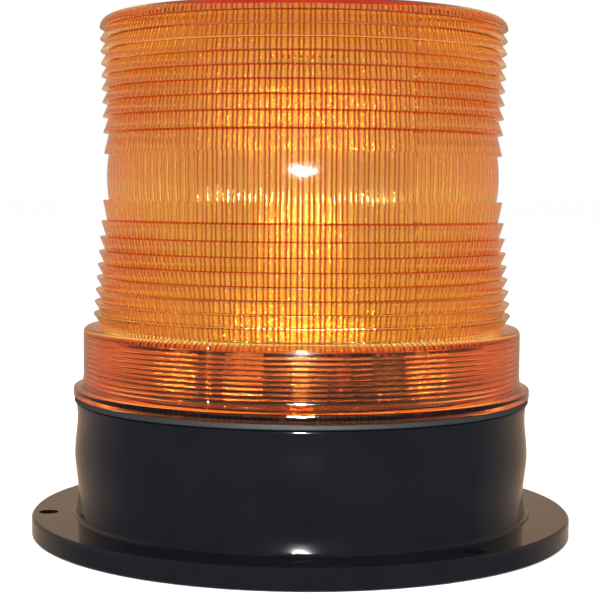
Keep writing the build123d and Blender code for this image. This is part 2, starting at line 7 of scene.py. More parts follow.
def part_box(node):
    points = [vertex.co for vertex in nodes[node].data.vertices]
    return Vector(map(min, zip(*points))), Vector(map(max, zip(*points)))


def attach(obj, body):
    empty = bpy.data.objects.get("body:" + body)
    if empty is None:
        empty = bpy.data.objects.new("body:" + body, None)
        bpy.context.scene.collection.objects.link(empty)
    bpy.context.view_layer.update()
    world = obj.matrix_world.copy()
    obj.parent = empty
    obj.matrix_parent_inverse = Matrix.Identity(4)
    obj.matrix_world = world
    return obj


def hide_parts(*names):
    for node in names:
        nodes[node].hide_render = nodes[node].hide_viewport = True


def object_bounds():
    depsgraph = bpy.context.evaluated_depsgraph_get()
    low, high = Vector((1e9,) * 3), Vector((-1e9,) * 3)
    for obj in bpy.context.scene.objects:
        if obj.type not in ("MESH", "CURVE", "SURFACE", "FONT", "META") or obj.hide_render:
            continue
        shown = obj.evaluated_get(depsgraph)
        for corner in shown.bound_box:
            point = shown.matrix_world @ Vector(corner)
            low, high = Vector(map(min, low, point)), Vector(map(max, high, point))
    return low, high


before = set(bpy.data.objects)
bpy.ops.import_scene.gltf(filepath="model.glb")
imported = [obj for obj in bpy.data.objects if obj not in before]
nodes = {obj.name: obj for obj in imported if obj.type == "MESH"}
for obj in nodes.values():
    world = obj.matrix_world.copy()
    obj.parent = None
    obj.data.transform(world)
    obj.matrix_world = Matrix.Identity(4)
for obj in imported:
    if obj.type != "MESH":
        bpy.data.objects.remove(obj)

cadBox = [list(corner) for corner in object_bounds()]
mm = 0.001
print("frame loaded:", len(nodes), "parts")


def hexColour(code):
    # sRGB hex to linear, the only way a colour gets into this file
    channels = [int(code[i:i + 2], 16) / 255 for i in (1, 3, 5)]
    return tuple(c / 12.92 if c <= 0.04045 else ((c + 0.055) / 1.055) ** 2.4 for c in channels) + (1.0,)


def feed(tree, socket, value):
    # a node gives its first output that is in use, and a hex string becomes a colour
    if isinstance(value, bpy.types.Node):
        value = next(output for output in value.outputs if output.enabled)
    if isinstance(value, bpy.types.NodeSocket):
        tree.links.new(value, socket)
    else:
        socket.default_value = hexColour(value) if isinstance(value, str) else value


def addNode(tree, kind, **settings):
    # settings are node properties, or inputs by name (_ for a space) or by number (i0, i1 ...);
    # in a colour mix i0 is the share, and i6 and i7 are the colours where it is 0 and 1
    node = tree.nodes.new("ShaderNode" + kind)
    for key, value in settings.items():
        if hasattr(node, key):
            setattr(node, key, value)
            continue
        byNumber = key[0] == "i" and key[1:].isdigit()
        feed(tree, node.inputs[int(key[1:]) if byNumber else key.replace("_", " ")], value)
    return node


socketNames = {"colour": "Base Color", "metal": "Metallic", "rough": "Roughness", "ior": "IOR",
               "clear": "Transmission Weight", "coat": "Coat Weight", "coatRough": "Coat Roughness",
               "mirror": "Specular IOR Level", "normal": "Normal"}


def setSurface(tree, shader, **surface):
    for key, value in surface.items():
        feed(tree, shader.inputs[socketNames[key]], value)


def newMaterial(name, **surface):
    material = bpy.data.materials.new(name)
    material.use_nodes = True
    tree = material.node_tree
    shader = tree.nodes["Principled BSDF"]
    setSurface(tree, shader, **surface)
    return material, tree, shader


def grain(tree, size, detail=3.0, stretch=(1, 1, 1)):
    # 0 to 1 noise whose blobs are about size millimetres across; stretch squeezes it along an axis
    place = addNode(tree, "TexCoord").outputs["Object"]
    squeezed = addNode(tree, "Mapping", Vector=place, Scale=stretch)
    return addNode(tree, "TexNoise", Vector=squeezed, Scale=1 / (size * mm), Detail=detail)


def coordinate(tree, letter):
    # x, y or z of the part in millimetres
    place = addNode(tree, "TexCoord").outputs["Object"]
    split = addNode(tree, "SeparateXYZ", Vector=place)
    return addNode(tree, "Math", operation="MULTIPLY", i0=split.outputs[letter], i1=1 / mm)


reliefShare = 0.35    # relief is this much finer than the change of shade


def varied(name, look, **surface):
    # a surface that wanders between two shades, with its roughness and a little relief
    material, tree, shader = newMaterial(name, **surface)
    pattern = grain(tree, look["blobs"])
    low, high = look["roughness"]
    shade = addNode(tree, "Mix", data_type="RGBA", i0=pattern, i6=look["shade"], i7=look["otherShade"])
    rough = addNode(tree, "MapRange", Value=pattern, To_Min=low, To_Max=high)
    fine = grain(tree, look["blobs"] * reliefShare, 2.0)
    bump = addNode(tree, "Bump", Height=fine, Distance=look["relief"] * mm)
    setSurface(tree, shader, colour=shade, rough=rough, normal=bump)
    return material


def dress(material, *names):
    # gives CAD parts a finish in place of their plain one
    for name in names:
        part = nodes[name]
        if not part.material_slots:
            part.data.materials.append(None)
        for slotOfPart in part.material_slots:
            slotOfPart.link = "OBJECT"
            slotOfPart.material = material


def ringMesh(name, outline, steps, reach, creased=None):
    # turns an outline of (radius, height, kind) about Z, in millimetres; reach gives the radius at each step,
    # creased tells which edges between two rows stay sharp, and rows of the kind edge are sharp all round
    mesh = bpy.data.meshes.new(name)
    points, faces, rows = [], [], []
    for radius, height, kind in outline:
        if radius == 0:
            rows.append([len(points)])
            points.append((0, 0, height * mm))
            continue
        rows.append(list(range(len(points), len(points) + steps)))
        for step in range(steps):
            angle = 2 * pi * step / steps
            far = reach(kind, radius, step) * mm
            points.append((far * cos(angle), far * sin(angle), height * mm))
    creases = set()
    for number, (upper, lower) in enumerate(zip(rows[:-1], rows[1:])):
        for step in range(steps):
            after = (step + 1) % steps
            if creased and creased(outline[number][2], outline[number + 1][2], step):
                creases.add((upper[step], lower[step]))
            if outline[number][2] == "edge":
                creases.add((upper[step], upper[after]))
            if len(upper) == 1:
                faces.append((upper[0], lower[step], lower[after]))
            elif len(lower) == 1:
                faces.append((upper[after], upper[step], lower[0]))
            else:
                faces.append((upper[step], lower[step], lower[after], upper[after]))
    mesh.from_pydata(points, [], faces)
    mesh.update()
    return mesh, creases


def makePiece(name, mesh, material, body, smoothAngle, creases=()):
    # a finished mesh becomes a piece that rides on a body
    work = bmesh.new()
    work.from_mesh(mesh)
    bmesh.ops.recalc_face_normals(work, faces=work.faces)
    work.to_mesh(mesh)
    work.free()
    mesh.materials.append(material)
    piece = bpy.data.objects.new(name, mesh)
    bpy.context.scene.collection.objects.link(piece)
    mesh.shade_smooth()
    mesh.set_sharp_from_angle(angle=radians(smoothAngle))
    for edge in mesh.edges:
        first, second = edge.vertices
        if (first, second) in creases or (second, first) in creases:
            edge.use_edge_sharp = True
    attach(piece, body)
    return piece


cameraSet = {
    "distance": 533 * mm,    # from the lamp's axis
    "height": 111.8 * mm,
    "tiltDown": 3.81,        # degrees
    "yaw": 0.07,
    "roll": 0.42,
    "focalLength": 96.3,
}

cameraData = bpy.data.cameras.new("camera")
cameraData.lens = cameraSet["focalLength"]
cameraData.sensor_width = 36
cameraData.clip_start = 0.01
camera = bpy.data.objects.new("camera", cameraData)
camera.location = (0, -cameraSet["distance"], cameraSet["height"])
aim = Euler((radians(90 - cameraSet["tiltDown"]), 0, radians(cameraSet["yaw"]))).to_matrix()
camera.rotation_euler = (aim @ Matrix.Rotation(radians(cameraSet["roll"]), 3, "Z")).to_euler()
bpy.context.scene.collection.objects.link(camera)
bpy.context.scene.camera = camera
print("camera set")


lensMaterial = {
    "surfaceColour": "#FFF09C",
    "skirtColour": "#FFB46E",     # the skirt is a heavier section and looks redder
    "skirtEdge": 1.0,             # millimetres above the skirt's inside where that colour ends
    "paintedGrooveShade": "#C8421A",    # painted shade, for the light that gets lost between two flutes and at the root of a rib
    "grooveShadeShare": 0.14,          # of a flute, from the foot of a ridge to where the painted shade has gone
    "grooveShadeCore": 0.056,          # and to where it is still full
    "boreFlare": (-0.0525, 5.73),    # how much wider the bore is, per millimetre of height and at height 0
    "boreReach": 1.3,             # millimetres into the wall that the grooves get painted shade
    "rootDepth": 0.16,            # millimetres either side of the root of a rib that get painted shade
    "rootsAboveSkirt": 3.5,       # millimetres of shoulder with no ribs
    "rootsOffBelt": 0.2,
    "throughColour": "#FFD65F",   # the dye takes out blue and some green and leaves the red
    "depth": 55,                  # per metre of thickness
    "ior": 1.586,                 # polycarbonate
    "roughness": (0.015, 0.065),
    "polishSize": 0.9,            # millimetres across a patch of duller polish
    "sinkSize": 1.6,              # and across a dimple
    "waviness": 0.008,            # millimetres of moulding sink in the skin
    "beltWaviness": 5.0,          # times as much on the plain belt
    "beltRoughness": 1.7,
}


def polycarbonate():
    # amber polycarbonate, injection moulded and polished: clear and glossy, redder where it is thick, with
    # painted shade in the grooves of the bore and at the roots of the ribs
    look = lensMaterial
    material, tree, shader = newMaterial("polycarbonateAmberMoulded", ior=look["ior"], clear=1.0)
    x, y, z = [coordinate(tree, letter) for letter in "XYZ"]

    # how far across its flute a point is, from 0 to 1, and a painted shade at the foot of each ridge
    angle = addNode(tree, "Math", operation="ARCTAN2", i0=y, i1=x)
    turn = addNode(tree, "Math", operation="MULTIPLY", i0=angle, i1=lens["flutes"] / (2 * pi))
    across = addNode(tree, "Math", operation="FRACT", i0=turn)
    grooveShadeRamp = addNode(tree, "ValToRGB", i0=across)
    elements = grooveShadeRamp.color_ramp.elements
    share, core = look["grooveShadeShare"], look["grooveShadeCore"]
    narrowFrom = lens["fluteHeights"].index(0.0, 1) / len(lens["fluteHeights"])
    places = ((core, 1), (share, 0), (narrowFrom - share, 0), (narrowFrom - core, 1),
              (narrowFrom + core, 1), (narrowFrom + share, 0), (1 - share, 0), (1 - core, 1))
    while len(elements) < len(places):
        elements.new(1.0)
    for element, (place, dark) in zip(elements, places):
        element.position = place
        element.color = (dark, dark, dark, 1)

    # the painted shade goes only near the bore, which is wider lower down
    squares = [addNode(tree, "Math", operation="MULTIPLY", i0=axis, i1=axis) for axis in (x, y)]
    total = addNode(tree, "Math", operation="ADD", i0=squares[0], i1=squares[1])
    radius = addNode(tree, "Math", operation="SQRT", i0=total)
    perHeight, atZero = look["boreFlare"]
    widening = addNode(tree, "Math", operation="MULTIPLY_ADD", i0=z, i1=perHeight, i2=atZero)
    flare = addNode(tree, "Math", operation="MAXIMUM", i0=widening, i1=0.0)
    evened = addNode(tree, "Math", operation="SUBTRACT", i0=radius, i1=flare)
    inBore = addNode(tree, "Math", operation="LESS_THAN", i0=evened, i1=lens["boreTop"] + look["boreReach"])
    grooveShadeMask = addNode(tree, "Math", operation="MULTIPLY", i0=grooveShadeRamp.outputs["Color"], i1=inBore)

    # the ribs have their roots on two cones, one below the belt and one above it, and get a painted shade
    # there
    offset = addNode(tree, "Math", operation="SUBTRACT", i0=z, i1=lens["beltMiddle"])
    away = addNode(tree, "Math", operation="ABSOLUTE", i0=offset)
    above = addNode(tree, "Math", operation="GREATER_THAN", i0=z, i1=lens["beltMiddle"])
    lower, upper = [addNode(tree, "Math", operation="MULTIPLY_ADD", i0=away, i1=grow, i2=start)
                    for start, grow in (lens["lowerRoot"], lens["upperRoot"])]
    gap = addNode(tree, "Math", operation="SUBTRACT", i0=upper, i1=lower)
    root = addNode(tree, "Math", operation="MULTIPLY_ADD", i0=gap, i1=above, i2=lower)
    atRoot = addNode(tree, "Math", operation="COMPARE", i0=radius, i1=root, i2=look["rootDepth"])
    ribsFrom, beltTo = lens["skirtTop"] + look["rootsAboveSkirt"], lens["beltHalf"] + look["rootsOffBelt"]
    offSkirt = addNode(tree, "Math", operation="GREATER_THAN", i0=z, i1=ribsFrom)
    offBelt = addNode(tree, "Math", operation="GREATER_THAN", i0=away, i1=beltTo)
    ribbed = addNode(tree, "Math", operation="MULTIPLY", i0=offSkirt, i1=offBelt)
    rootShadeMask = addNode(tree, "Math", operation="MULTIPLY", i0=atRoot, i1=ribbed)
    dark = addNode(tree, "Math", operation="MAXIMUM", i0=grooveShadeMask, i1=rootShadeMask)

    inSkirt = addNode(tree, "Math", operation="LESS_THAN", i0=z, i1=lens["skirtTop"] + look["skirtEdge"])
    tint = addNode(tree, "Mix", data_type="RGBA", i0=inSkirt, i6=look["surfaceColour"],
                   i7=look["skirtColour"])
    # painted shade: the colour goes dark in the grooves and at the roots of the ribs
    colour = addNode(tree, "Mix", data_type="RGBA", i0=dark, i6=tint, i7=look["paintedGrooveShade"])

    # the plain belt is less flat and less polished than the rest
    onBelt = addNode(tree, "Math", operation="COMPARE", i0=z, i1=lens["beltMiddle"], i2=lens["beltHalf"])
    wavier = addNode(tree, "MapRange", Value=onBelt, To_Min=1.0, To_Max=look["beltWaviness"])
    dimples = grain(tree, look["sinkSize"], 2.0)
    sink = addNode(tree, "Math", operation="MULTIPLY", i0=dimples, i1=wavier)
    bump = addNode(tree, "Bump", Height=sink, Distance=look["waviness"] * mm)
    low, high = look["roughness"]
    patches = grain(tree, look["polishSize"], 2.0)
    polish = addNode(tree, "MapRange", Value=patches, To_Min=low, To_Max=high)
    duller = addNode(tree, "MapRange", Value=onBelt, To_Min=1.0, To_Max=look["beltRoughness"])
    rough = addNode(tree, "Math", operation="MULTIPLY", i0=polish, i1=duller)
    setSurface(tree, shader, colour=colour, rough=rough, normal=bump)

    absorb = addNode(tree, "VolumeAbsorption", Color=look["throughColour"], Density=look["depth"])
    feed(tree, tree.nodes["Material Output"].inputs["Volume"], absorb)
    return material


lens = {
    "beltMiddle": 116.7,     # lengths here are millimetres
    "beltHalf": 7.5,
    "beltEndRadius": 63.8,
    "beltBulge": 0.6,
    "ribBase": 3.5,          # rib heights are ribBase + ribGrowth / number, counted from the belt
    "ribGrowth": 3.3,
    "ribs": 9,
    "upperTip": (65.35, 0.0346),     # radius at the belt, and how much it grows per millimetre away
    "upperRoot": (63.55, 0.0118),
    "lowerTip": (65.65, 0.0845),
    "lowerRoot": (63.5, 0.058),
    "upperLand": 0.08,
    "lowerLand": 0.2,
    "tipSlope": (0.07, 0.0018),      # at the belt, and how much steeper per millimetre away
    "ribEdge": 0.02,                 # height of the step from a root to the next tip
    "smoothAngle": 34,                # degrees; edges sharper than this stay sharp
    "curveSteps": 6,
    "topRadius": 62.0,
    "topRows": (0, 18.0, 36.0, 54.0),    # radii of the rings across the flat top
    "ceiling": 165.9,
    "flutes": 120,
    "fluteHeights": (0.0, 0.22, 0.22, 0.0, 0.19),   # one wide and one narrow ridge to each flute
    "boreTop": 61.3,
    "boreBottom": 63.6,
    # heights, and the degrees that the bore opens upwards from there
    "boreBends": ((107.5, -1.2), (108.5, 0.5), (109.3, 1.0), (110.1, 1.5), (111.0, 1.7), (124.2, 0.0)),
    # radius, height and kind of each row from the last rib down to the skirt, and from there to the rim
    "shoulder": ((70.47, 67.8, ""), (71.3, 67.6, ""), (71.85, 67.05, "index")),
    "cove": ((72.2, 50.9, "index"), (72.55, 49.5, "index"), (73.0, 48.75, ""), (73.6, 48.4, ""),
             (74.8, 48.3, "nub"), (75.15, 48.15, "nub")),
    "skirtStraight": (66.2, 52.5),
    "rimStraight": (47.8, 45.8),
    "rimFoot": (74.95, 45.4),
    "skirtRadius": 72.07,
    "skirtBore": 69.3,
    "skirtTop": 65.4,
    "skirtFloor": 47.6,
    "skirtRings": 11,
    "ringDepth": 0.25,
    "ringCrest": (0.32, 0.68),    # where in its height each inner ring is flat
    "ringMargin": 0.5,
    "rimRadius": 75.3,
    "neckRadius": 67.0,
    "neckBore": 64.6,
    "lugRadius": 70.3,
    "lugHeights": (40.25, 37.3),
    "lugEdge": 0.02,
    "lugDegrees": (68, 188, 308),
    "lugHalf": 8,
    "indexDegrees": 247.7,   # moulded line and nub that show how the lens goes on
    "indexHeight": 0.4,
    "nubHeight": 0.5,
    "seamDegrees": (301.2, 303.0),   # where the two halves of the mould met
    "seamDepth": 0.18,
}


def ribEnds(count):
    ends = [lens["beltHalf"]]
    for number in range(1, count + 1):
        ends.append(ends[-1] + lens["ribBase"] + lens["ribGrowth"] / number)
    return ends


def ribOutline(side):
    # prism ribs from the belt outwards; side is 1 above the belt and -1 below
    tip, root = (lens["upperTip"], lens["upperRoot"]) if side > 0 else (lens["lowerTip"], lens["lowerRoot"])
    ends = ribEnds(lens["ribs"])
    points = []
    for near, far in zip(ends[:-1], ends[1:]):
        tipRadius = tip[0] + tip[1] * (near - lens["beltHalf"])
        slope = lens["tipSlope"][0] + lens["tipSlope"][1] * (near - lens["beltHalf"])
        land = lens["upperLand"] if side > 0 else lens["lowerLand"]
        start = tipRadius - slope * land    # tips below the belt face up a little, tips above it down
        points.append((start, lens["beltMiddle"] + side * (near + lens["ribEdge"]), "edge"))
        points.append((tipRadius, lens["beltMiddle"] + side * (near + land), "edge"))
        points.append((root[0] + root[1] * far, lens["beltMiddle"] + side * far, "edge"))
    if side > 0:
        tipRadius = tip[0] + tip[1] * (ends[-1] - lens["beltHalf"])
        points.append((tipRadius, lens["beltMiddle"] + ends[-1], "edge"))
    return points


def outsideOutline(top):
    # from the middle of the top down to the shoulder
    upper = ribOutline(1)
    crownRadius, crownHeight = upper[-1][:2]
    points = [(radius, top, "") for radius in lens["topRows"]]
    steps = lens["curveSteps"]
    for step in range(steps, 0, -1):
        turn = step / steps * pi / 2
        radius = lens["topRadius"] + (crownRadius - lens["topRadius"]) * cos(turn)
        points.append((radius, crownHeight + (top - crownHeight) * sin(turn), ""))
    points += reversed(upper)
    for step in range(steps, -steps - 1, -1):
        share = step / steps
        radius = lens["beltEndRadius"] + lens["beltBulge"] * (1 - share * share)
        points.append((radius, lens["beltMiddle"] + share * lens["beltHalf"], "rib"))
    return points + ribOutline(-1)


def skirtOutline(bottom):
    # shoulder, skirt, cove, rim and the neck that goes down into the housing
    neck, lug = lens["neckRadius"], lens["lugRadius"]
    lugTop, lugBottom = lens["lugHeights"]
    footRadius, footHeight = lens["rimFoot"]
    points = list(lens["shoulder"])
    points += [(lens["skirtRadius"], height, "index") for height in lens["skirtStraight"]]
    points += lens["cove"]
    points += [(lens["rimRadius"], height, "nub") for height in lens["rimStraight"]]
    points += [(footRadius, footHeight, "nub"), (neck, footHeight, ""), (neck, lugTop + lens["lugEdge"], ""),
               (lug, lugTop, "lug"), (lug, lugBottom, "lug"), (neck, lugBottom - lens["lugEdge"], ""),
               (neck, bottom, ""), (lens["neckBore"], bottom, "")]
    return points


def insideOutline():
    # up the neck, the ringed skirt and the fluted bore to the ceiling
    bore, floor, top, margin = lens["skirtBore"], lens["skirtFloor"], lens["skirtTop"], lens["ringMargin"]
    points = [(lens["neckBore"], floor, ""), (bore, floor, "")]
    pitch = (top - floor - 2 * margin) / lens["skirtRings"]
    for number in range(lens["skirtRings"]):
        height = floor + margin + number * pitch
        points.append((bore, height, ""))
        for share in lens["ringCrest"]:
            points.append((bore - lens["ringDepth"], height + pitch * share, ""))
    points += [(bore, top - margin, ""), (bore, top, ""), (lens["boreBottom"], top, "flute")]
    radius, bends = lens["boreTop"], lens["boreBends"]
    middle = (top + bends[0][0]) / 2
    points.append(((lens["boreBottom"] + radius) / 2, middle, "flute"))
    points.append((radius, bends[0][0], "flute"))
    for (height, lean), (nextHeight, _) in zip(bends[:-1], bends[1:]):
        radius += (nextHeight - height) * tan(radians(lean))
        points.append((radius, nextHeight, "flute"))
    points.append((radius, lens["ceiling"], "flute"))
    return points + [(ring, lens["ceiling"], "") for ring in reversed(lens["topRows"])]


def buildLens(material):
    low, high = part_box("lens")
    outline = outsideOutline(high.z / mm) + skirtOutline(low.z / mm) + insideOutline()
    steps = lens["flutes"] * len(lens["fluteHeights"])
    indexStep = round(lens["indexDegrees"] / 360 * steps)
    seamSteps = [round(degrees / 360 * steps) for degrees in lens["seamDegrees"]]

    def reach(kind, radius, step):
        if kind == "flute":
            return radius - lens["fluteHeights"][step % len(lens["fluteHeights"])]
        if kind == "index" and step == indexStep:
            return radius + lens["indexHeight"]
        if kind == "nub" and step in (indexStep, indexStep + 1):
            return radius + lens["nubHeight"]
        if kind in ("rib", "edge") and step in seamSteps:
            return radius - lens["seamDepth"]
        if kind == "lug":
            turn = step * 360 / steps
            onLug = any(abs(turn - middle) <= lens["lugHalf"] for middle in lens["lugDegrees"])
            return radius if onLug else lens["neckRadius"]
        return radius

    def creased(kind, nextKind, step):
        return kind == nextKind == "flute" and lens["fluteHeights"][step % len(lens["fluteHeights"])] == 0

    mesh, creases = ringMesh("amberLens", outline, steps, reach, creased)
    piece = makePiece("amberLens", mesh, material, "lens", lens["smoothAngle"], creases)
    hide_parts("lens")


buildLens(polycarbonate())
print("lens built")


housing = {
    "shade": "#060608",
    "smearShade": "#0E0E11",
    "roughness": (0.05, 0.13),
    "smearSize": 14.0,       # millimetres
    "waveSize": 22.0,
    "waviness": 0.05,
}
rubber = {"shade": "#131418", "otherShade": "#1E1F24", "blobs": 1.2,
          "roughness": (0.5, 0.75), "relief": 0.03}


def glossyAbs():
    # black ABS, injection moulded in a polished tool: deep gloss, faint waviness, handling smears
    material, tree, shader = newMaterial("absGlossyMoulded", ior=1.5)
    smears = grain(tree, housing["smearSize"], 4.0)
    low, high = housing["roughness"]
    shade = addNode(tree, "Mix", data_type="RGBA", i0=smears, i6=housing["shade"], i7=housing["smearShade"])
    rough = addNode(tree, "MapRange", Value=smears, To_Min=low, To_Max=high)
    waves = grain(tree, housing["waveSize"], 2.0)
    bump = addNode(tree, "Bump", Height=waves, Distance=housing["waviness"] * mm)
    setSurface(tree, shader, colour=shade, rough=rough, normal=bump)
    return material


dress(glossyAbs(), "base_housing")
# synthetic rubber, compression moulded: matt, with a fine bloom
dress(varied("rubberMoulded", rubber, ior=1.52), "lens_gasket")
print("housing and gasket dressed")


nickel = {"shade": "#C9C6BE", "otherShade": "#B4B0A6", "blobs": 1.5,
          "roughness": (0.16, 0.3), "relief": 0.004}
zinc = {"shade": "#B9BDC2", "otherShade": "#9DA2AB", "blobs": 0.9,
        "roughness": (0.26, 0.42), "relief": 0.008}
brass = {"shade": "#C9A24C", "otherShade": "#AF8838", "blobs": 0.7,
         "roughness": (0.2, 0.36), "relief": 0.006}

# steel plated with nickel: bright, slightly warm, faint rolling marks
nickelSteel = varied("steelNickelPlated", nickel, metal=1.0)
# steel plated with zinc: cooler and duller, a little mottled
zincSteel = varied("steelZincPlated", zinc, metal=1.0)
# brass, turned: yellow with fine tool marks
turnedBrass = varied("brassTurned", brass, metal=1.0)
dress(nickelSteel, "contact_positive", "contact_link_front", "contact_link_back", "contact_negative",
      "contact_springs", "switch_lever", "tube_electrodes", "trigger_wire")
dress(zincSteel, "tray_screws", "latch_screws", "board_screws", "plate_screws", "switch_body")
dress(turnedBrass, "board_standoffs", "tube_pins")


batteries = {
    "sleeve": "#15161B",
    "sleeveScuff": "#23242B",
    "band": "#B8772C",       # coloured third of the sleeve at the positive end
    "bandShare": 0.3,
    "canEnd": "#BDBBB6",
    "sleeveHalf": 29.2,      # millimetres; beyond it the bare can shows
    "lineShare": 0.9,        # the thin line below the band
    "lineHalf": 0.35,
    "scuffSize": 5.0,
    "roughness": (0.22, 0.4),
}


def cellSleeve(name, positive):
    # printed plastic film shrunk on a steel can: semi-gloss, with the bare can at both ends
    material, tree, shader = newMaterial(name, ior=1.54)
    length, bandStart = batteries["sleeveHalf"], 2 * batteries["bandShare"]
    along = addNode(tree, "Math", operation="MULTIPLY", i0=coordinate(tree, "Y"), i1=positive)
    band = addNode(tree, "Math", operation="GREATER_THAN", i0=along, i1=length * (1 - bandStart))
    line = addNode(tree, "Math", operation="COMPARE", i0=along,
                   i1=length * (batteries["lineShare"] - bandStart), i2=batteries["lineHalf"])
    away = addNode(tree, "Math", operation="ABSOLUTE", i0=along)
    bare = addNode(tree, "Math", operation="GREATER_THAN", i0=away, i1=length)
    scuffs = grain(tree, batteries["scuffSize"], 4.0)
    film = addNode(tree, "Mix", data_type="RGBA", i0=scuffs, i6=batteries["sleeve"],
                   i7=batteries["sleeveScuff"])
    inked = addNode(tree, "Math", operation="MAXIMUM", i0=band, i1=line)
    printed = addNode(tree, "Mix", data_type="RGBA", i0=inked, i6=film, i7=batteries["band"])
    colour = addNode(tree, "Mix", data_type="RGBA", i0=bare, i6=printed, i7=batteries["canEnd"])
    low, high = batteries["roughness"]
    rough = addNode(tree, "MapRange", Value=scuffs, To_Min=low, To_Max=high)
    setSurface(tree, shader, colour=colour, metal=bare, rough=rough)
    return material


for number, positive in ((1, 1), (2, -1), (3, 1)):
    dress(cellSleeve("filmSleeveOnSteelCan%d" % number, positive), "battery_cell_%d" % number)

tray = {"shade": "#26272A", "otherShade": "#303236", "blobs": 2.5, "roughness": (0.42, 0.6), "relief": 0.02}
redLead = {"shade": "#A3161A", "otherShade": "#B5262A", "blobs": 1.2,
           "roughness": (0.3, 0.42), "relief": 0.01}
blackLead = {"shade": "#111113", "otherShade": "#1B1B1E", "blobs": 1.2,
             "roughness": (0.3, 0.42), "relief": 0.01}
pad = {"shade": "#2E2F33", "otherShade": "#44464B", "blobs": 0.7, "roughness": (0.85, 0.95), "relief": 0.35}
# polypropylene, injection moulded: waxy grey-black satin
dress(varied("polypropyleneMoulded", tray, ior=1.49), "battery_tray")
# PVC drawn over wire: smooth and slightly waxy
dress(varied("pvcRedExtruded", redLead, ior=1.53), "red_lead")
dress(varied("pvcBlackExtruded", blackLead, ior=1.53), "black_lead")
# foamed rubber, cut from sheet: open pores, no shine
dress(varied("foamRubberCut", pad, ior=1.5), "cell_pad")
print("batteries dressed")


deckLook = {"shade": "#0D0D0F", "otherShade": "#17171A", "blobs": 1.6,
            "roughness": (0.3, 0.5), "relief": 0.03}
latchLook = {"shade": "#191A1D", "otherShade": "#222327", "blobs": 1.2,
             "roughness": (0.3, 0.45), "relief": 0.015}
# polystyrene, moulded against a spark-eroded tool: satin black with a fine leather grain
dress(varied("polystyreneGrainedMoulded", deckLook, ior=1.59), "deck")
# nylon, moulded: a shade paler than the deck so that the latches can be found
dress(varied("nylonBlackMoulded", latchLook, ior=1.53), "front_latch", "back_latch")


board = {
    "mask": "#2A1608",       # lacquered brown fibre board
    "maskOverTrack": "#43250E",
    "bareEdge": "#7A5A33",
    "edgeHeight": 50.8,      # millimetres, the middle of the sawn edge
    "edgeHalf": 0.74,
    "tracks": 4.2,           # millimetres between tracks
    "trackShare": 0.372,
    "trackRelief": 0.05,
    "blotchSize": 6.0,
    "roughness": (0.22, 0.4),
}


def laminate():
    # phenolic paper board under brown lacquer: tracks stand a little proud and show paler through it
    material, tree, shader = newMaterial("phenolicBoardLacquered", ior=1.5)
    place = addNode(tree, "TexCoord").outputs["Object"]
    cells = addNode(tree, "TexVoronoi", Vector=place, Scale=1 / (board["tracks"] * mm),
                    distance="CHEBYCHEV", Randomness=0.75)
    track = addNode(tree, "Math", operation="LESS_THAN", i0=cells, i1=board["trackShare"])
    lacquer = addNode(tree, "Mix", data_type="RGBA", i0=track, i6=board["mask"], i7=board["maskOverTrack"])
    edge = addNode(tree, "Math", operation="COMPARE", i0=coordinate(tree, "Z"), i1=board["edgeHeight"],
                   i2=board["edgeHalf"])
    colour = addNode(tree, "Mix", data_type="RGBA", i0=edge, i6=lacquer, i7=board["bareEdge"])
    low, high = board["roughness"]
    rough = addNode(tree, "MapRange", Value=grain(tree, board["blotchSize"]), To_Min=low, To_Max=high)
    bump = addNode(tree, "Bump", Height=track, Distance=board["trackRelief"] * mm)
    setSurface(tree, shader, colour=colour, rough=rough, normal=bump)
    return material


dress(laminate(), "circuit_board")


capacitor = {
    "sleeve": "#121219",
    "sleeveSheen": "#1B1B26",
    "stripe": "#8F8E8A",     # pale stripe on the negative side
    "canEnd": "#B9B9B8",
    "axisX": 40.5,           # millimetres
    "axisZ": 59.7,
    "halfLength": 16.4,
    "stripeRise": 3,         # the stripe's middle, above the can's axis
    "stripeHalf": 1.8,
    "sheenSize": 3.0,
    "roughness": (0.2, 0.34),
}


def capacitorSleeve(name, side):
    # aluminium can in a shrunk plastic sleeve: glossy black with one pale stripe, bare metal ends
    material, tree, shader = newMaterial(name, ior=1.54)
    along = addNode(tree, "Math", operation="ABSOLUTE", i0=coordinate(tree, "Y"))
    bare = addNode(tree, "Math", operation="GREATER_THAN", i0=along, i1=capacitor["halfLength"])
    away = addNode(tree, "Math", operation="MULTIPLY_ADD", i0=coordinate(tree, "X"), i1=side,
                   i2=-capacitor["axisX"])
    outwards = addNode(tree, "Math", operation="GREATER_THAN", i0=away, i1=0.0)
    level = addNode(tree, "Math", operation="COMPARE", i0=coordinate(tree, "Z"),
                    i1=capacitor["axisZ"] + capacitor["stripeRise"], i2=capacitor["stripeHalf"])
    stripe = addNode(tree, "Math", operation="MULTIPLY", i0=level, i1=outwards)
    sheen = grain(tree, capacitor["sheenSize"])
    film = addNode(tree, "Mix", data_type="RGBA", i0=sheen, i6=capacitor["sleeve"],
                   i7=capacitor["sleeveSheen"])
    printed = addNode(tree, "Mix", data_type="RGBA", i0=stripe, i6=film, i7=capacitor["stripe"])
    colour = addNode(tree, "Mix", data_type="RGBA", i0=bare, i6=printed, i7=capacitor["canEnd"])
    low, high = capacitor["roughness"]
    rough = addNode(tree, "MapRange", Value=sheen, To_Min=low, To_Max=high)
    setSurface(tree, shader, colour=colour, metal=bare, rough=rough)
    return material


dress(capacitorSleeve("filmSleeveOnAluminiumLeft", -1), "left_capacitor")
dress(capacitorSleeve("filmSleeveOnAluminiumRight", 1), "right_capacitor")


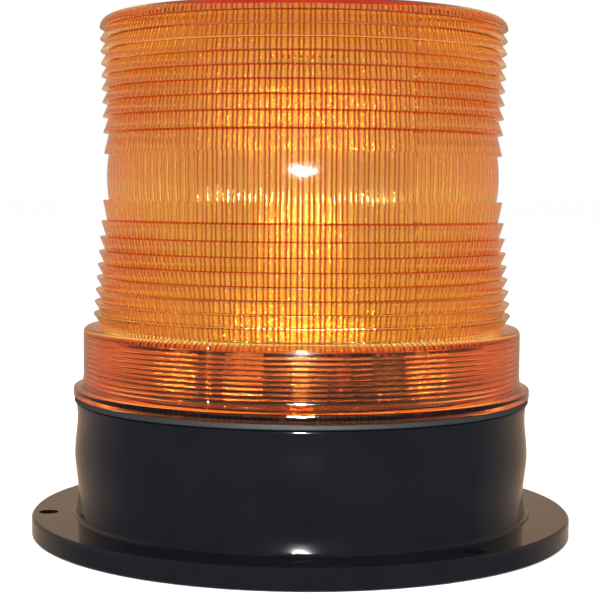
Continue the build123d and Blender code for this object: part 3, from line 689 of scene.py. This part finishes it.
smallParts = {
    "legs": "#B8B6B0",
    "resistorBody": "#C9B183",
    "resistorShade": "#BDA273",
    "resistorBands": ((-1.9, "#4A2A12"), (-1.0, "#1A1A1C"), (-0.1, "#C6661C"), (1.7, "#B38A34")),
    "resistorX": -17.5,      # millimetres
    "resistorHalf": 3.15,
    "diodeBody": "#131316",
    "diodeX": 17.5,
    "diodeHalf": 2.55,
    "diodeBands": ((-1.8, "#B9BBBE"),),    # one silver ring at the cathode
    "bandHalf": 0.3,
    "barrelGrain": 0.9,
    "barrelRoughness": (0.25, 0.4),
    "epoxy": "#121215",
    "epoxyDust": "#1D1D21",
    "dustSize": 0.8,
    "epoxyRoughness": (0.38, 0.6),
    "epoxyRelief": 0.01,
    "legTops": (52.2, 54.2, 51.9),    # tops of the chip's, the transistor's and the coil's legs
    "winding": "#B98A1E",
    "windingOverlap": "#8E6512",
    "tapePitch": 0.8,        # half of the height of a turn of tape
    "overlapFrom": 0.68,
    "tapeRoughness": (0.18, 0.32),
    "tapeBlotch": 2.0,
    "tapeRelief": 0.05,
}


def axialLook(name, body, dusty, bands, middle, half, ior):
    # small barrel with painted bands and tinned legs
    material, tree, shader = newMaterial(name, ior=ior)
    across = addNode(tree, "Math", operation="SUBTRACT", i0=coordinate(tree, "X"), i1=middle)
    speckle = grain(tree, smallParts["barrelGrain"])
    colour = addNode(tree, "Mix", data_type="RGBA", i0=speckle, i6=body, i7=dusty)
    for place, code in bands:
        band = addNode(tree, "Math", operation="COMPARE", i0=across, i1=place, i2=smallParts["bandHalf"])
        colour = addNode(tree, "Mix", data_type="RGBA", i0=band, i6=colour, i7=code)
    away = addNode(tree, "Math", operation="ABSOLUTE", i0=across)
    leg = addNode(tree, "Math", operation="GREATER_THAN", i0=away, i1=half)
    colour = addNode(tree, "Mix", data_type="RGBA", i0=leg, i6=colour, i7=smallParts["legs"])
    low, high = smallParts["barrelRoughness"]
    rough = addNode(tree, "MapRange", Value=speckle, To_Min=low, To_Max=high)
    setSurface(tree, shader, colour=colour, metal=leg, rough=rough)
    return material


def mouldedEpoxy(name, legTop):
    # filled epoxy, transfer moulded: dull black body over tinned legs
    material, tree, shader = newMaterial(name, ior=1.55)
    leg = addNode(tree, "Math", operation="LESS_THAN", i0=coordinate(tree, "Z"), i1=legTop)
    dust = grain(tree, smallParts["dustSize"], 4.0)
    body = addNode(tree, "Mix", data_type="RGBA", i0=dust, i6=smallParts["epoxy"],
                   i7=smallParts["epoxyDust"])
    colour = addNode(tree, "Mix", data_type="RGBA", i0=leg, i6=body, i7=smallParts["legs"])
    low, high = smallParts["epoxyRoughness"]
    rough = addNode(tree, "MapRange", Value=dust, To_Min=low, To_Max=high)
    bump = addNode(tree, "Bump", Height=dust, Distance=smallParts["epoxyRelief"] * mm)
    setSurface(tree, shader, colour=colour, metal=leg, rough=rough, normal=bump)
    return material


# carbon film resistors dipped in lacquer, with their value bands
dress(axialLook("lacquerDippedCeramic", smallParts["resistorBody"], smallParts["resistorShade"],
                smallParts["resistorBands"], smallParts["resistorX"], smallParts["resistorHalf"], 1.5),
      "resistors")
# rectifiers in moulded epoxy
dress(axialLook("epoxyMouldedDiode", smallParts["diodeBody"], smallParts["epoxyDust"],
                smallParts["diodeBands"], smallParts["diodeX"], smallParts["diodeHalf"], 1.55), "diodes")
for look, node, legTop in zip(("epoxyMouldedChip", "epoxyMouldedTransistor", "epoxyPottedCoil"),
                              ("timer_chip", "driver_transistor", "trigger_coil"), smallParts["legTops"]):
    dress(mouldedEpoxy(look, legTop), node)


def windingTape():
    # polyester tape wound over the coil: glossy amber with the overlap of each turn
    material, tree, shader = newMaterial("polyesterTapeWound", ior=1.57)
    turns = addNode(tree, "Math", operation="PINGPONG", i0=coordinate(tree, "Z"), i1=smallParts["tapePitch"])
    overlap = addNode(tree, "Math", operation="GREATER_THAN", i0=turns, i1=smallParts["overlapFrom"])
    colour = addNode(tree, "Mix", data_type="RGBA", i0=overlap, i6=smallParts["winding"],
                     i7=smallParts["windingOverlap"])
    low, high = smallParts["tapeRoughness"]
    blotches = grain(tree, smallParts["tapeBlotch"])
    rough = addNode(tree, "MapRange", Value=blotches, To_Min=low, To_Max=high)
    bump = addNode(tree, "Bump", Height=overlap, Distance=smallParts["tapeRelief"] * mm)
    setSurface(tree, shader, colour=colour, rough=rough, normal=bump)
    return material


dress(windingTape(), "transformer_winding")
ferrite = {"shade": "#1E1E20", "otherShade": "#2C2C2E", "blobs": 0.6,
           "roughness": (0.55, 0.75), "relief": 0.05}
whiteNylon = {"shade": "#D9D5C8", "otherShade": "#CBC6B7", "blobs": 2.0,
              "roughness": (0.32, 0.5), "relief": 0.012}
sensor = {"shade": "#3A1210", "otherShade": "#561A14", "blobs": 1.0,
          "roughness": (0.12, 0.25), "relief": 0.01}
# iron oxide pressed and fired: dark grey, matt and slightly pitted
dress(varied("ferritePressed", ferrite, ior=1.6), "transformer_core")
# natural nylon, moulded: milky white satin
dress(varied("nylonNaturalMoulded", whiteNylon, ior=1.53), "tube_socket", "plate_spacers")
# dark red epoxy window over the light sensor: glossy
dress(varied("epoxyCastWindow", sensor, ior=1.54), "photocell")
print("board dressed")


reflector = {
    "shade": "#D5D6D8",
    "polishMarks": "#BFC1C4",
    "ringPitch": 0.9,        # millimetres between the spinning marks
    "waveLength": 0.314,     # a wave texture of scale 1 repeats after this much
    "ringRelief": 0.006,
    "polishSize": 4.0,
    "roughness": (0.14, 0.28),
}
ceramic = {"shade": "#DDD2B4", "otherShade": "#D2C5A4", "blobs": 3.0,
           "roughness": (0.16, 0.3), "relief": 0.01}
glass = {"ior": 1.473, "rough": 0.0, "streaks": 0.004, "streakSize": 3.0, "streakStretch": 0.1}


def spunAluminium():
    # aluminium sheet spun to shape and polished: bright, with fine rings round the axis
    material, tree, shader = newMaterial("aluminiumSpunPolished", metal=1.0)
    place = addNode(tree, "TexCoord").outputs["Object"]
    rings = addNode(tree, "TexWave", Vector=place, wave_type="RINGS", rings_direction="Z", Distortion=0.6,
                    Scale=reflector["waveLength"] / (reflector["ringPitch"] * mm), Detail=2.0).outputs["Fac"]
    shade = addNode(tree, "Mix", data_type="RGBA", i0=rings, i6=reflector["shade"],
                    i7=reflector["polishMarks"])
    low, high = reflector["roughness"]
    rough = addNode(tree, "MapRange", Value=grain(tree, reflector["polishSize"]), To_Min=low, To_Max=high)
    bump = addNode(tree, "Bump", Height=rings, Distance=reflector["ringRelief"] * mm)
    setSurface(tree, shader, colour=shade, rough=rough, normal=bump)
    return material


def drawnGlass():
    # borosilicate glass, drawn and flame formed: clear, with faint lengthwise streaks
    material, tree, shader = newMaterial("borosilicateDrawn", colour="#FFFFFF", rough=glass["rough"],
                                         ior=glass["ior"], clear=1.0)
    streaks = grain(tree, glass["streakSize"], 1.0, (1, 1, glass["streakStretch"]))
    setSurface(tree, shader, normal=addNode(tree, "Bump", Height=streaks, Distance=glass["streaks"] * mm))
    return material


dress(spunAluminium(), "reflector_plate")
# steatite, pressed and glazed: cream with a soft shine
dress(varied("steatiteGlazed", ceramic, ior=1.55, coat=0.4, coatRough=0.1), "tube_base")
dress(drawnGlass(), "tube_dome", "flash_tube")
print("tube and reflector dressed")


studio = {
    "paper": "#FDFDFD",
    "glossFront": "#6B7080",    # what shiny plastic sees of the room, in front of the lamp and behind it
    "glossBack": "#C2A68C",
    "glossFade": (0.1, 0.95),   # where one goes over into the other, 1 being straight behind
    # what clear plastic lets in, by degrees away from straight behind the lamp
    "backdrop": ((0, "#DEDEDE"), (6, "#DED4C8"), (10, "#BC7684"), (14, "#C4808C"), (20, "#E6C8D4"),
                 (36, "#F6ECF0"), (45, "#E8B4BC"), (56, "#FFFFFF"), (180, "#FFFFFF")),
    "lowBackdrop": "#F4DCEB",   # and how much duller it is low down
    "lowFade": (0.1, -0.1),     # from a little above level to a little below
    "sideGain": (42, 62, 1.7),  # from and to these degrees it grows this much brighter
    "floorHalf": 40.0,          # metres
    "floorGap": 0.0002,
    "fibreSize": 1.5,           # millimetres
}
# a lamp can be kept to soft light (diffuse), glints (glossy) or what shines back out of clear plastic
lamps = {
    "flashGlint": {"place": (0.0, -0.6, 0.165), "size": (0.045, 0.028),
                   "power": 8.0, "seenBy": ("glossy",)},
    "flashInside": {"place": (0.0, -0.6, 0.165), "size": (0.15, 0.03),
                    "power": 4.2, "seenBy": ("transmission",)},
    "flashFill": {"place": (0.0, -0.6, 0.17), "size": (0.1, 0.06), "power": 5.0, "seenBy": ("diffuse",)},
    "leftBox": {"place": (-0.9, -0.5, 0.9), "size": (0.7, 0.7), "power": 9.0, "seenBy": ("diffuse",)},
    "rightBox": {"place": (0.9, -0.3, 0.8), "size": (0.7, 0.7), "power": 7.0, "seenBy": ("diffuse",)},
}


def buildFloor():
    half, height = studio["floorHalf"], cadBox[0][2] - studio["floorGap"]
    floorMesh = bpy.data.meshes.new("floor")
    corners = [(-half, -half), (half, -half), (half, half), (-half, half)]
    floorMesh.from_pydata([(x, y, height) for x, y in corners], [], [(0, 1, 2, 3)])
    paper, tree, shader = newMaterial("studioPaper", mirror=0.0, rough=0.9)
    fibres = grain(tree, studio["fibreSize"])
    setSurface(tree, shader, colour=addNode(tree, "Mix", data_type="RGBA", i0=fibres, i6=studio["paper"],
                                            i7="#FFFFFF"))
    floorMesh.materials.append(paper)
    floorPiece = bpy.data.objects.new("floor", floorMesh)
    bpy.context.scene.collection.objects.link(floorPiece)
    floorPiece.visible_glossy = False    # the housing must not mirror a white floor
    floorPiece.visible_transmission = False


def buildRoom():
    # a white room for the eye and for soft light; darker where glossy plastic mirrors it, and seen through
    # clear plastic it has bright and dull upright bands, which is what brings out fine prisms
    room = bpy.data.worlds.new("studio")
    bpy.context.scene.world = room
    room.use_nodes = True
    tree = room.node_tree
    path = addNode(tree, "LightPath").outputs
    through = path["Is Transmission Ray"]
    direction = addNode(tree, "TexCoord").outputs["Generated"]
    side, behind, up = addNode(tree, "SeparateXYZ", Vector=direction).outputs
    start, end = studio["glossFade"]
    share = addNode(tree, "MapRange", Value=behind, From_Min=start, From_Max=end)
    mirrored = addNode(tree, "Mix", data_type="RGBA", i0=share, i6=studio["glossFront"],
                       i7=studio["glossBack"])

    sideways = addNode(tree, "Math", operation="ABSOLUTE", i0=side)
    turn = addNode(tree, "Math", operation="ARCTAN2", i0=sideways, i1=behind)
    halfTurns = addNode(tree, "Math", operation="DIVIDE", i0=turn, i1=pi)
    bands = addNode(tree, "ValToRGB", i0=halfTurns)
    elements = bands.color_ramp.elements
    while len(elements) < len(studio["backdrop"]):
        elements.new(1.0)
    for element, (degrees, code) in zip(elements, studio["backdrop"]):
        element.position = degrees / 180
        element.color = hexColour(code)
    start, end = studio["lowFade"]
    low = addNode(tree, "MapRange", Value=up, From_Min=start, From_Max=end)
    seen = addNode(tree, "Mix", data_type="RGBA", blend_type="MULTIPLY", i0=low,
                   i6=bands.outputs["Color"], i7=studio["lowBackdrop"])

    onlyGloss = addNode(tree, "Math", operation="SUBTRACT", use_clamp=True, i0=path["Is Glossy Ray"],
                        i1=through)
    unmirrored = addNode(tree, "Mix", data_type="RGBA", i0=through, i6="#FFFFFF", i7=seen)
    view = addNode(tree, "Mix", data_type="RGBA", i0=onlyGloss, i6=unmirrored, i7=mirrored)
    start, end, gain = studio["sideGain"]
    brighter = addNode(tree, "MapRange", Value=turn, From_Min=radians(start), From_Max=radians(end),
                       To_Min=0.0, To_Max=gain - 1)
    strength = addNode(tree, "Math", operation="MULTIPLY_ADD", i0=brighter, i1=through, i2=1.0)
    background = tree.nodes["Background"]
    feed(tree, background.inputs["Color"], view)
    feed(tree, background.inputs["Strength"], strength)


def buildLamps():
    for name, lamp in lamps.items():
        data = bpy.data.lights.new(name, "AREA")
        data.shape = "RECTANGLE"
        data.size, data.size_y = lamp["size"]
        data.energy = lamp["power"]
        piece = bpy.data.objects.new(name, data)
        piece.location = lamp["place"]
        for kind in ("diffuse", "glossy", "transmission"):
            setattr(piece, "visible_" + kind, kind in lamp["seenBy"])
        towards = Vector((0, 0, 0.1)) - Vector(lamp["place"])
        piece.rotation_euler = towards.to_track_quat("-Z", "Y").to_euler()
        bpy.context.scene.collection.objects.link(piece)


buildFloor()
buildRoom()
buildLamps()
scene = bpy.context.scene
scene.view_settings.view_transform = "Standard"
scene.cycles.sample_clamp_indirect = 300.0    # lets the lamp's glints inside the lens come through
scene.cycles.max_bounces = 24
scene.cycles.transmission_bounces = 20
scene.cycles.glossy_bounces = 20    # light runs a long way along the flutes at the edges of the lens
scene.cycles.transparent_max_bounces = 16
scene.cycles.caustics_reflective = True
scene.cycles.caustics_refractive = True
print("studio lit")
